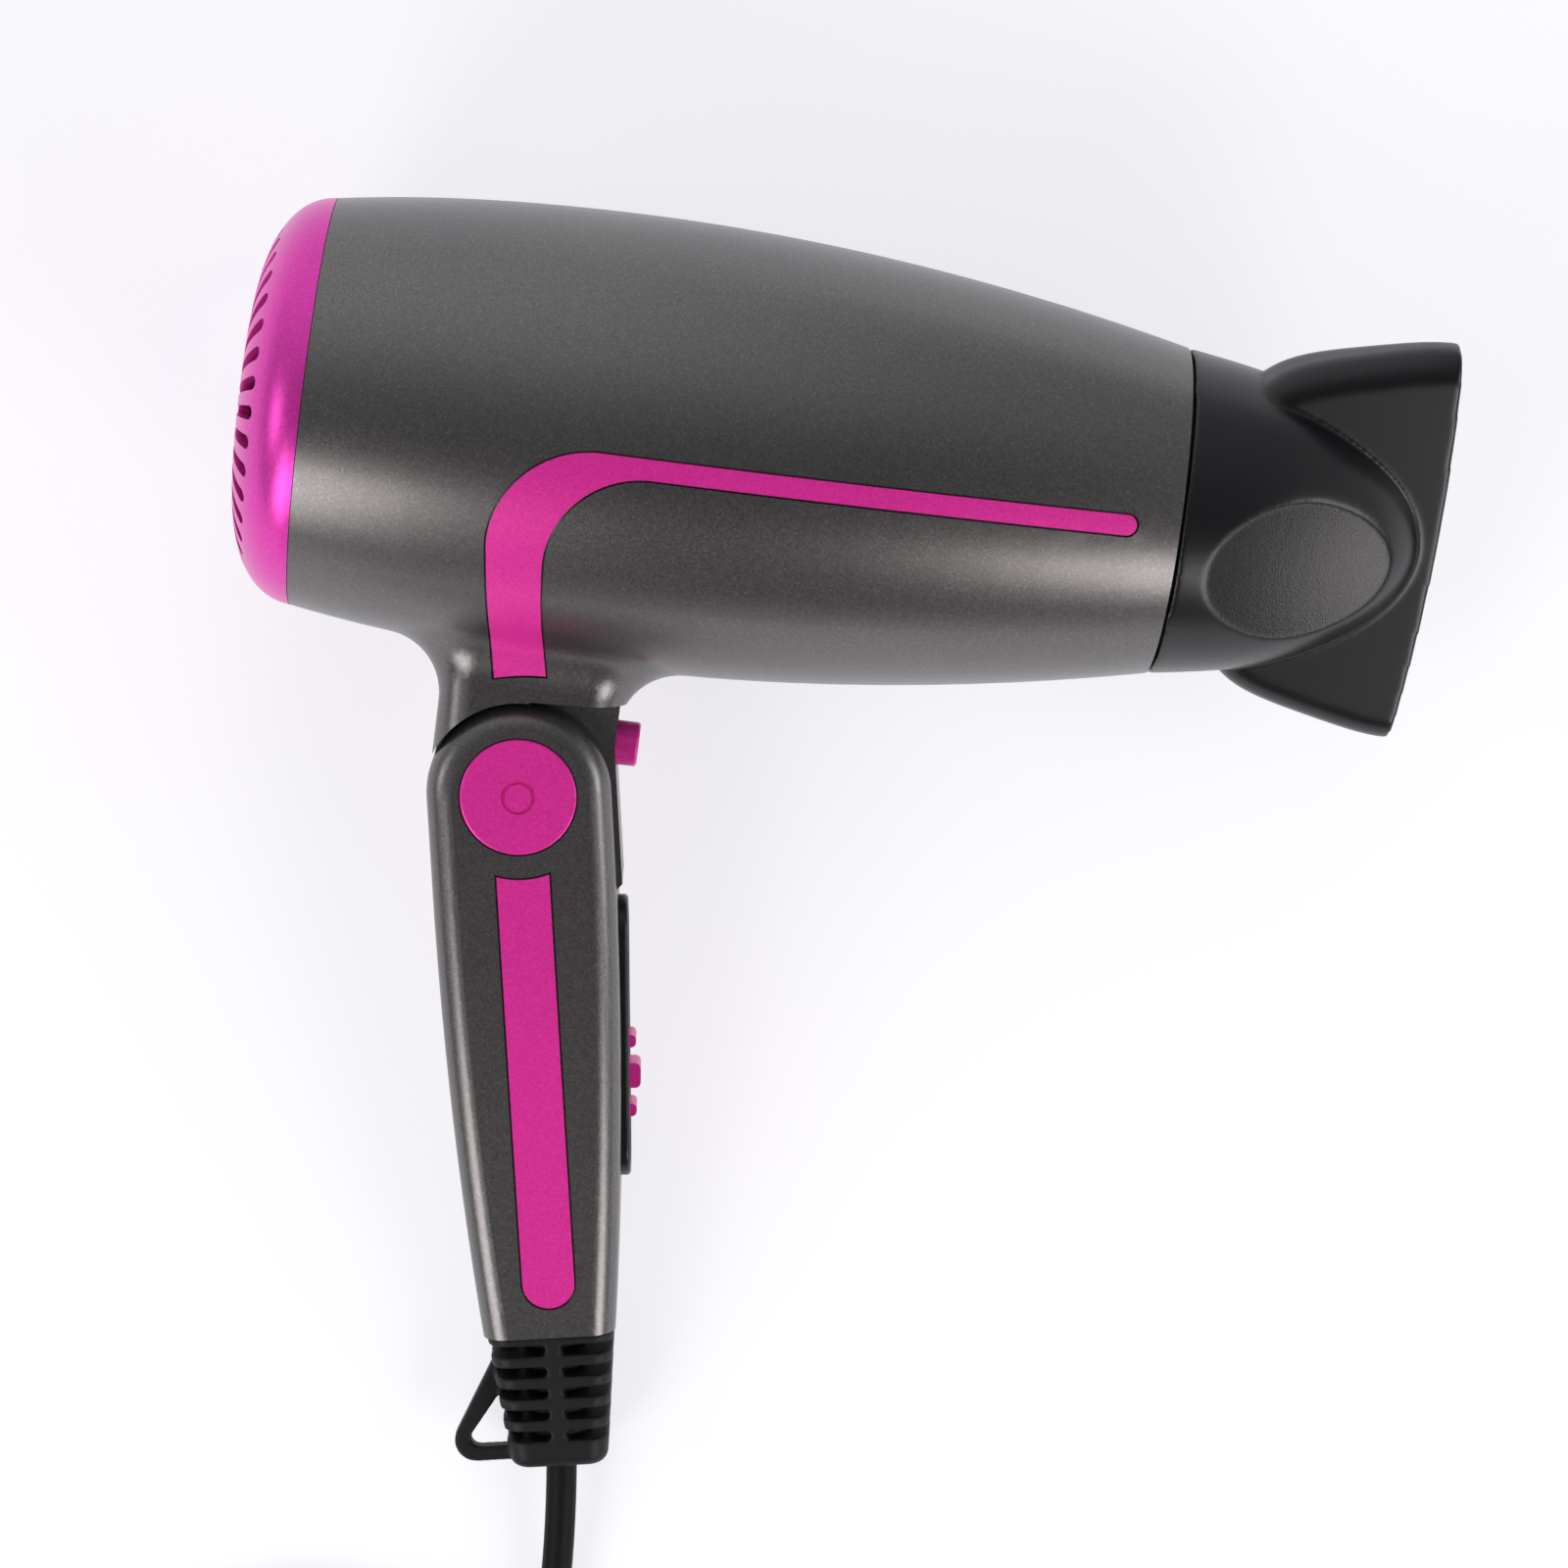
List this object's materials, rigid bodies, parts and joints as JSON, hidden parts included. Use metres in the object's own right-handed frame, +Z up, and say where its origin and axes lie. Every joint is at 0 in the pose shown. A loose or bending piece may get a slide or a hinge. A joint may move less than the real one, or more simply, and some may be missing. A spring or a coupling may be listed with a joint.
{
  "type": "travel hair dryer",
  "caption": "Folding travel hair dryer with push-on concentrator nozzle, slide switch, cool-shot button, strain-relief boot with hanging eye, mains cord and plug.",
  "frame": {"origin": "bottom centre of the dryer's bounding box, without the cord and plug, as it lies on its side on a table", "axes": "+Z up from the table; +X towards the nozzle along the barrel, which dips 2.1 degrees; +Y away from the handle; the dryer is rolled 9.8 degrees about the barrel so that the boot touches the table"},
  "size_m": [0.3067, 0.4157, 0.0952],
  "materials": {
    "shell_gunmetal": "satin metallic flake paint over ABS",
    "trim_magenta": "satin metallic magenta paint over ABS",
    "nozzle_black": "satin black, heat-resistant",
    "outlet_black": "matt black, heat-resistant",
    "bezel_black": "semi-gloss black",
    "boot_rubber": "soft black, matt",
    "cord_sheath": "black, slightly glossy sheath",
    "plug_black": "satin black moulding",
    "pin_nickel": "nickel plated",
    "steel": "zinc plated",
    "brass": "bare",
    "mica": "mica board",
    "heater_wire": "resistance alloy",
    "magnet_grey": "sintered ferrite",
    "board_green": "circuit board",
    "component_dark": "moulded components",
    "lead_insulation": "silicone insulation"
  },
  "bodies": {
    "barrel": {"barrel_shell_near": "shell_gunmetal", "barrel_shell_far": "shell_gunmetal", "barrel_trim_near": "trim_magenta", "barrel_trim_far": "trim_magenta", "barrel_screws": "steel", "rear_grille": "trim_magenta", "inlet_screen": "outlet_black", "outlet_grille": "outlet_black", "motor_housing": "outlet_black", "motor_can": "steel", "motor_end_cap": "outlet_black", "motor_magnets": "magnet_grey", "motor_brushes": "brass", "motor_mount_ring": "boot_rubber", "rectifier_board": "board_green", "rectifier_diodes": "component_dark", "suppression_capacitor": "component_dark", "heating_coil": "heater_wire", "mica_board_flat": "mica", "mica_board_upright": "mica", "heat_tube": "mica", "thermostat": "steel", "thermal_fuse": "brass", "heater_leads": "lead_insulation", "cool_shot_switch": "outlet_black"},
    "rotor": {"fan": "outlet_black", "motor_shaft": "steel", "armature": "steel", "commutator": "brass"},
    "nozzle_ring": {"nozzle_snap_ring": "steel"},
    "nozzle": {"concentrator_nozzle": "nozzle_black"},
    "cool_button": {"cool_shot_button": "trim_magenta"},
    "handle": {"handle_shell_near": "shell_gunmetal", "handle_shell_far": "shell_gunmetal", "handle_inlay_near": "trim_magenta", "handle_inlay_far": "trim_magenta", "pivot_cap_near": "trim_magenta", "pivot_cap_far": "trim_magenta", "hinge_bolt": "steel", "hinge_nut": "steel", "handle_screws": "steel", "strain_relief": "boot_rubber", "cord_inner_end": "cord_sheath", "cord_clamp": "outlet_black", "clamp_screws": "steel", "handle_leads": "lead_insulation", "switch_bezel": "bezel_black", "slide_switch": "outlet_black", "switch_terminals": "brass", "mains_cord": "cord_sheath", "cord_coil": "cord_sheath", "cord_tail": "cord_sheath", "mains_plug": "plug_black", "plug_pins": "pin_nickel"},
    "slider": {"switch_slider": "trim_magenta", "slider_carriage": "outlet_black"}
  },
  "joints": [
    {"name": "fold_hinge", "type": "hinge", "parent": "barrel", "child": "handle", "pos_m": [-0.05861, 0.01334, 0.03542], "axis": [0.0361, -0.1702, 0.9847], "range_deg": [0, 80]},
    {"name": "fan_spin", "type": "hinge", "parent": "barrel", "child": "rotor", "pos_m": [-0.07044, 0.08675, 0.04854], "axis": [0.9993, 0, -0.0366], "continuous": true},
    {"name": "nozzle_turn", "type": "hinge", "parent": "barrel", "child": "nozzle_ring", "pos_m": [0.07547, 0.08675, 0.04319], "axis": [0.9993, 0, -0.0366], "continuous": true},
    {"name": "nozzle_pull", "type": "slide", "parent": "nozzle_ring", "child": "nozzle", "axis": [0.9993, 0, -0.0366], "range_m": [0, 0.012]},
    {"name": "cool_press", "type": "slide", "parent": "barrel", "child": "cool_button", "axis": [-0.9993, 0, 0.0366], "range_m": [0, 0.003], "stiffness_N_per_m": 400, "springref_m": -0.001},
    {"name": "switch_slide", "type": "slide", "parent": "handle", "child": "slider", "axis": [-0.1277, 0.9765, 0.1735], "range_m": [0, 0.014]}
  ]
}
